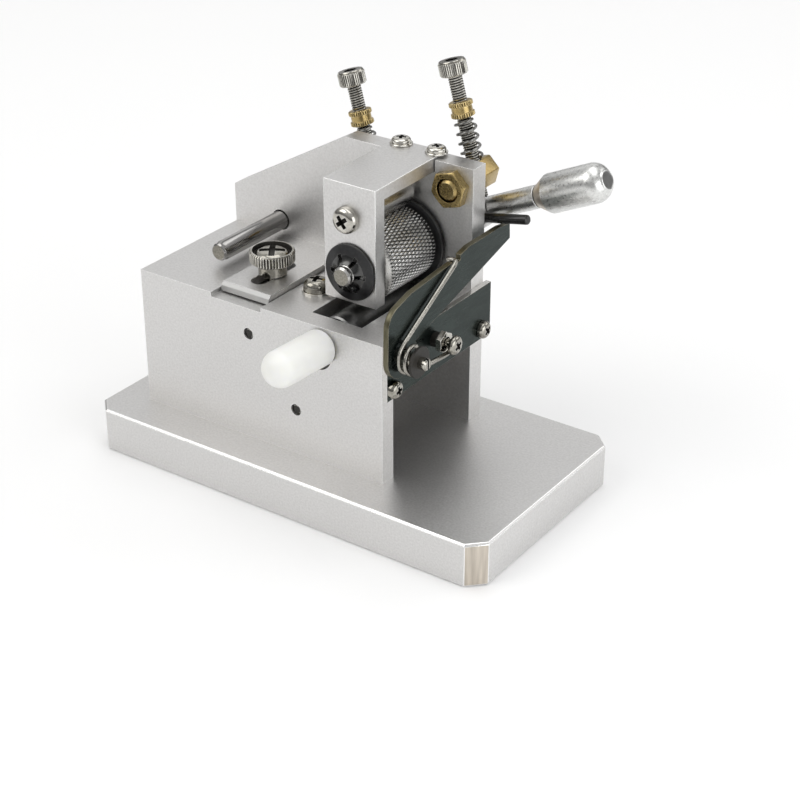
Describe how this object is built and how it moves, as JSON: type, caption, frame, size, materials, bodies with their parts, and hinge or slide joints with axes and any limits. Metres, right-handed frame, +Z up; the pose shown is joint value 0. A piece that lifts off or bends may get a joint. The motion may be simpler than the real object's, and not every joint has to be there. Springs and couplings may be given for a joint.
{
  "type": "hand paper fringer",
  "caption": "Bench tool that feeds a paper strip under a knurled roller and snips its edge with a spring shear blade worked by a hand lever.",
  "frame": {"origin": "middle of the base plate's underside", "axes": "+X along the base in the strip's travel towards the blades, +Y to the rear plate and lever, +Z up"},
  "size_m": [0.096, 0.0628, 0.083],
  "materials": {
    "satin_aluminium": "satin machined aluminium with bright broken edges",
    "machined_aluminium": "fine turned aluminium",
    "ground_steel": "fine ground steel",
    "nickel_screw": "nickel plated",
    "spring_wire": "drawn spring wire",
    "blade_steel": "dark oiled blade steel",
    "black_steel": "blackened steel",
    "brass": "machined brass",
    "bronze": "sintered bronze",
    "white_vinyl": "soft white vinyl"
  },
  "bodies": {
    "frame": {"base_plate": "satin_aluminium", "base_screw_front_left": "nickel_screw", "base_screw_front_right": "nickel_screw", "base_screw_rear_left": "nickel_screw", "base_screw_rear_right": "nickel_screw", "body_block": "satin_aluminium", "rear_plate": "satin_aluminium", "rear_plate_screw_left": "nickel_screw", "rear_plate_screw_right": "nickel_screw", "roller_bracket": "satin_aluminium", "bracket_screw_left": "nickel_screw", "bracket_screw_right": "nickel_screw", "cheek_screw": "nickel_screw", "spacer_post": "blade_steel", "spacer_screw": "nickel_screw", "front_bush": "bronze", "rear_bush": "bronze", "guide_pin": "ground_steel", "top_washer": "nickel_screw", "top_screw": "nickel_screw", "fixed_blade": "blade_steel", "fixed_blade_screw_front": "nickel_screw", "fixed_blade_screw_rear": "nickel_screw", "anchor_nut": "nickel_screw", "anchor_screw": "nickel_screw", "pivot_stud": "ground_steel", "blade_spring": "spring_wire", "stop_post_left": "brass", "stop_post_right": "brass", "stop_nut_left": "brass", "stop_nut_right": "brass", "stop_spring_left": "spring_wire", "stop_spring_right": "spring_wire", "return_spring_peg": "ground_steel", "return_spring": "spring_wire", "release_pivot_pin": "ground_steel", "spring_anchor_pin": "ground_steel", "release_spring": "spring_wire"},
    "roller": {"feed_roller": "ground_steel", "roller_shaft": "ground_steel", "roller_washer": "black_steel", "retainer_clip": "black_steel", "shaft_end_clip": "black_steel"},
    "lever": {"rocker_hub": "machined_aluminium", "clutch_bearing": "ground_steel", "lever_rod": "ground_steel", "lever_grip": "machined_aluminium", "striker_pin": "black_steel"},
    "shear_arm": {"moving_blade": "blade_steel"},
    "release": {"release_arm": "ground_steel", "pinch_axle": "ground_steel", "release_cap": "white_vinyl"},
    "pinch": {"pinch_roller": "ground_steel"},
    "guide": {"strip_guide": "satin_aluminium"},
    "guide_clamp": {"thumbscrew": "nickel_screw"},
    "left_stop": {"stop_screw_left": "nickel_screw", "stop_insert_left": "brass"},
    "right_stop": {"stop_screw_right": "nickel_screw", "stop_insert_right": "brass"}
  },
  "joints": [
    {"name": "feed_spin", "type": "hinge", "parent": "frame", "child": "roller", "pos_m": [0.0049, 0, 0.0468], "axis": [0, 1, 0], "continuous": true},
    {"name": "lever_swing", "type": "hinge", "parent": "frame", "child": "lever", "pos_m": [0.0049, 0.0255, 0.0468], "axis": [0, 1, 0], "range_deg": [0, 20], "stiffness_Nm_per_rad": 0.03, "springref_deg": -22.92, "deforming": ["return_spring"]},
    {"name": "blade_swing", "type": "hinge", "parent": "frame", "child": "shear_arm", "pos_m": [0.022, -0.0131, 0.0369], "axis": [-1, 0, 0], "range_deg": [0, 10.9], "deforming": ["blade_spring"]},
    {"name": "release_swing", "type": "hinge", "parent": "frame", "child": "release", "pos_m": [-0.0124, 0, 0.0329], "axis": [0, 1, 0], "range_deg": [0, 9], "stiffness_Nm_per_rad": 0.02, "springref_deg": -34.38, "deforming": ["release_spring"]},
    {"name": "pinch_spin", "type": "hinge", "parent": "release", "child": "pinch", "pos_m": [0.0051, 0, 0.035], "axis": [0, 1, 0], "continuous": true},
    {"name": "guide_slide", "type": "slide", "parent": "frame", "child": "guide", "axis": [0, 1, 0], "range_m": [-0.0045, 0.0035]},
    {"name": "thumbscrew_turn", "type": "hinge", "parent": "frame", "child": "guide_clamp", "pos_m": [-0.01535, -0.0043, 0.043], "axis": [0, 0, 1], "range_deg": [0, 360]},
    {"name": "left_stop_turn", "type": "hinge", "parent": "frame", "child": "left_stop", "pos_m": [-0.00924, 0.02275, 0.05313], "axis": [-0.2723, 0, 0.9622], "range_deg": [-360, 360]},
    {"name": "right_stop_turn", "type": "hinge", "parent": "frame", "child": "right_stop", "pos_m": [0.01512, 0.02275, 0.06002], "axis": [-0.2723, 0, 0.9622], "range_deg": [-360, 360]}
  ],
  "couplings": [
    {"joint": "blade_swing", "follows": "lever_swing", "ratio": 0.54},
    {"joint": "pinch_spin", "follows": "feed_spin", "ratio": -1.875}
  ]
}
